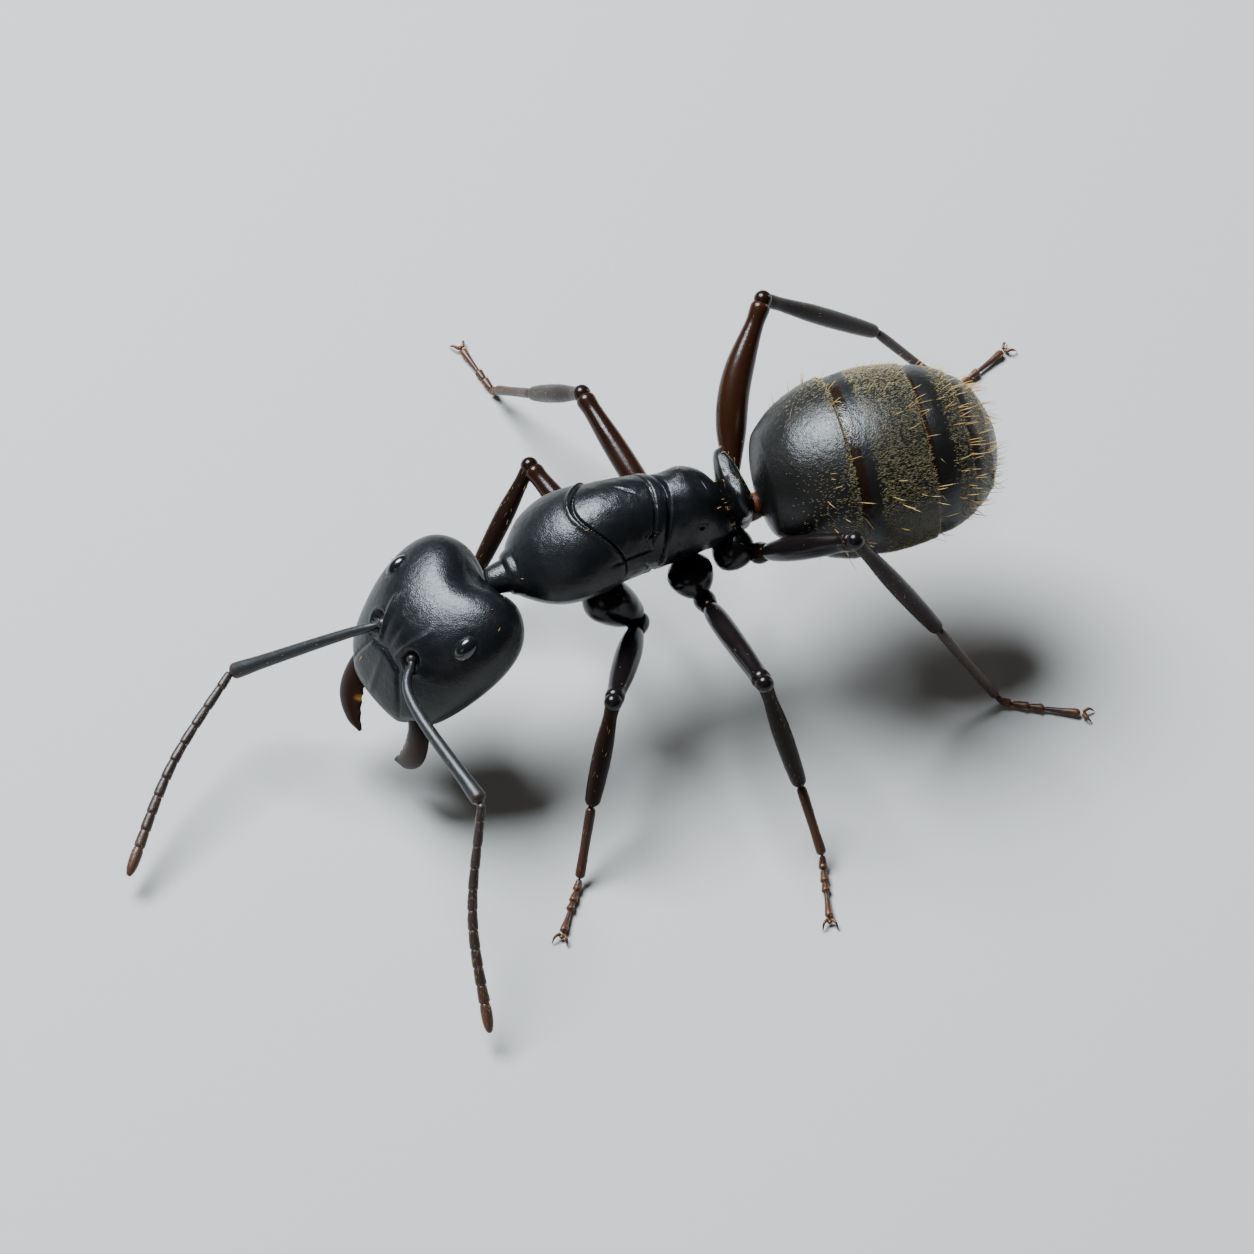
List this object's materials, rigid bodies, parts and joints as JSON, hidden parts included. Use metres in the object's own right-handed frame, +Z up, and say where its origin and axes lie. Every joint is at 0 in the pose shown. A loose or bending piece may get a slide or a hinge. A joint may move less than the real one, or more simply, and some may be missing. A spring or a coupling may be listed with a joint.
{
  "type": "carpenter ant figure",
  "caption": "Life-size still model of a carpenter ant worker on six feet, body raised, head lowered, one feeler forward and one sideways.",
  "frame": {"origin": "middle of the footprint of the bounding box, on the floor under the feet", "axes": "-Y is the way the ant faces, +X is its left side, +Z is up"},
  "size_m": [0.0142, 0.0182, 0.0055],
  "materials": {
    "shell": "satin blue-black cuticle",
    "gaster": "satin brown-black cuticle under fine golden down",
    "limb": "glossy dark red-brown cuticle",
    "foot": "satin red-brown cuticle",
    "jaw": "polished red-brown cuticle",
    "eye": "polished black"
  },
  "bodies": {
    "root": {"head": "shell", "mandible_l": "jaw", "mandible_r": "jaw", "mouthparts": "jaw", "eye_l": "eye", "eye_r": "eye", "scape_l": "limb", "scape_r": "limb", "funiculus_l": "foot", "funiculus_r": "foot", "prothorax": "shell", "mesothorax": "shell", "propodeum": "shell", "petiole": "shell", "gaster_1": "gaster", "gaster_2": "gaster", "gaster_3": "gaster", "gaster_4": "gaster", "gaster_5": "gaster", "coxa_l1": "limb", "femur_l1": "limb", "tibia_l1": "limb", "tarsus_l1": "foot", "coxa_l2": "limb", "femur_l2": "limb", "tibia_l2": "limb", "tarsus_l2": "foot", "coxa_l3": "limb", "femur_l3": "limb", "tibia_l3": "limb", "tarsus_l3": "foot", "coxa_r1": "limb", "femur_r1": "limb", "tibia_r1": "limb", "tarsus_r1": "foot", "coxa_r2": "limb", "femur_r2": "limb", "tibia_r2": "limb", "tarsus_r2": "foot", "coxa_r3": "limb", "femur_r3": "limb", "tibia_r3": "limb", "tarsus_r3": "foot"}
  },
  "joints": []
}
